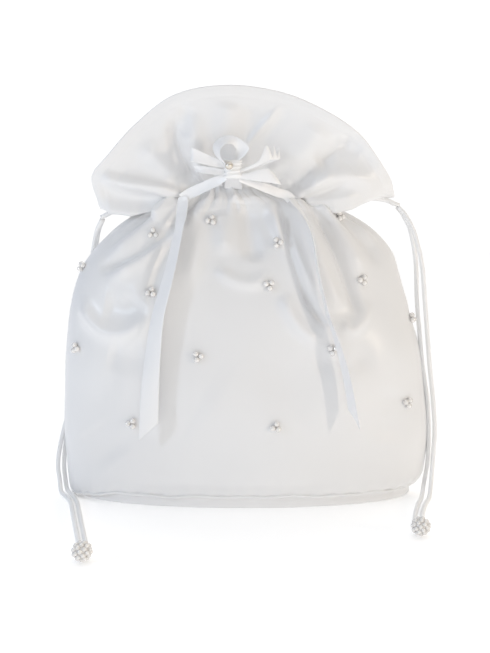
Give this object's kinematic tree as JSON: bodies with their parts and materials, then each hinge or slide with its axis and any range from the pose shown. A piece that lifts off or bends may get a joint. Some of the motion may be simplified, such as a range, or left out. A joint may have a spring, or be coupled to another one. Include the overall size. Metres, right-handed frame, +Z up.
{
  "type": "satin drawstring bag",
  "caption": "Gathered white satin drawstring pouch on an oval base, with a wide frill, ribbon bow, side drawcords ending in pearl balls and sewn-on pearl clusters.",
  "frame": {"origin": "centre of the base's underside, on the surface that the bag stands on", "axes": "+Z up from the base to the frill, -Y out of the front with the bow, +X to the right of a person who looks at the front"},
  "size_m": [0.2036, 0.1703, 0.2134],
  "materials": {
    "satin": "white satin with a soft sheen",
    "lining": "plain white lining",
    "ribbon": "glossy white satin ribbon",
    "cord": "white satin cord",
    "pearl": "pearl lustre",
    "board": "stiff card"
  },
  "bodies": {
    "bag": {"body_front": "satin", "body_back": "satin", "lining_front": "lining", "lining_back": "lining", "lining_base": "lining", "base_panel": "satin", "base_board": "board", "base_piping": "satin", "casing_front": "satin", "casing_back": "satin", "left_drawcord": "cord", "right_drawcord": "cord", "bow_knot": "ribbon", "bow_pearl": "pearl", "bow_loop_left": "ribbon", "bow_loop_lower_left": "ribbon", "bow_loop_right": "ribbon", "bow_loop_lower_right": "ribbon", "bow_loop_top": "ribbon", "bow_band_left": "ribbon", "bow_band_right": "ribbon", "pearls_front_01": "pearl", "pearls_front_02": "pearl", "pearls_front_03": "pearl", "pearls_front_04": "pearl", "pearls_front_05": "pearl", "pearls_front_06": "pearl", "pearls_front_07": "pearl", "pearls_front_08": "pearl", "pearls_front_09": "pearl", "pearls_front_10": "pearl", "pearls_front_11": "pearl", "pearls_front_12": "pearl", "pearls_front_13": "pearl", "pearls_front_14": "pearl", "pearls_front_15": "pearl", "pearls_back_01": "pearl", "pearls_back_02": "pearl", "pearls_back_03": "pearl", "pearls_back_04": "pearl", "pearls_back_05": "pearl", "pearls_back_06": "pearl", "pearls_back_07": "pearl", "pearls_back_08": "pearl", "pearls_back_09": "pearl", "pearls_back_10": "pearl", "pearls_back_11": "pearl"},
    "frill_front_half": {"frill_front": "satin", "frill_front_facing": "satin"},
    "frill_back_half": {"frill_back": "satin", "frill_back_facing": "satin"},
    "left_tail": {"tail_left": "ribbon"},
    "right_tail": {"tail_right": "ribbon"},
    "left_cords": {"left_cord_outer": "cord", "left_cord_inner": "cord"},
    "right_cords": {"right_cord_outer": "cord", "right_cord_inner": "cord"},
    "left_end": {"left_ball": "pearl"},
    "right_end": {"right_ball": "pearl"}
  },
  "joints": [
    {"name": "frill_open", "type": "hinge", "parent": "bag", "child": "frill_front_half", "pos_m": [-0.0006, 0.0026, 0.15], "axis": [1, 0, 0], "range_deg": [0, 8]},
    {"name": "frill_back_open", "type": "hinge", "parent": "bag", "child": "frill_back_half", "pos_m": [-0.0006, 0.0026, 0.15], "axis": [1, 0, 0], "range_deg": [-8, 0]},
    {"name": "left_tail_lift", "type": "hinge", "parent": "bag", "child": "left_tail", "pos_m": [-0.032, -0.014, 0.16], "axis": [-1, 0, 0], "range_deg": [0, 100]},
    {"name": "right_tail_lift", "type": "hinge", "parent": "bag", "child": "right_tail", "pos_m": [0.0232, -0.014, 0.1588], "axis": [-1, 0, 0], "range_deg": [0, 100]},
    {"name": "left_cord_swing", "type": "hinge", "parent": "bag", "child": "left_cords", "pos_m": [-0.0751, 0.0026, 0.1475], "axis": [0, 1, 0], "range_deg": [0, 35]},
    {"name": "right_cord_swing", "type": "hinge", "parent": "bag", "child": "right_cords", "pos_m": [0.0794, 0.0026, 0.154], "axis": [0, -1, 0], "range_deg": [0, 35]},
    {"name": "left_cord_pull", "type": "slide", "parent": "left_cords", "child": "left_end", "axis": [0.243, -0.97, 0], "range_m": [0, 0.025]},
    {"name": "right_cord_pull", "type": "slide", "parent": "right_cords", "child": "right_end", "axis": [-0.2201, -0.9755, 0], "range_m": [0, 0.025]}
  ],
  "couplings": [
    {"joint": "frill_back_open", "follows": "frill_open", "ratio": -1}
  ]
}
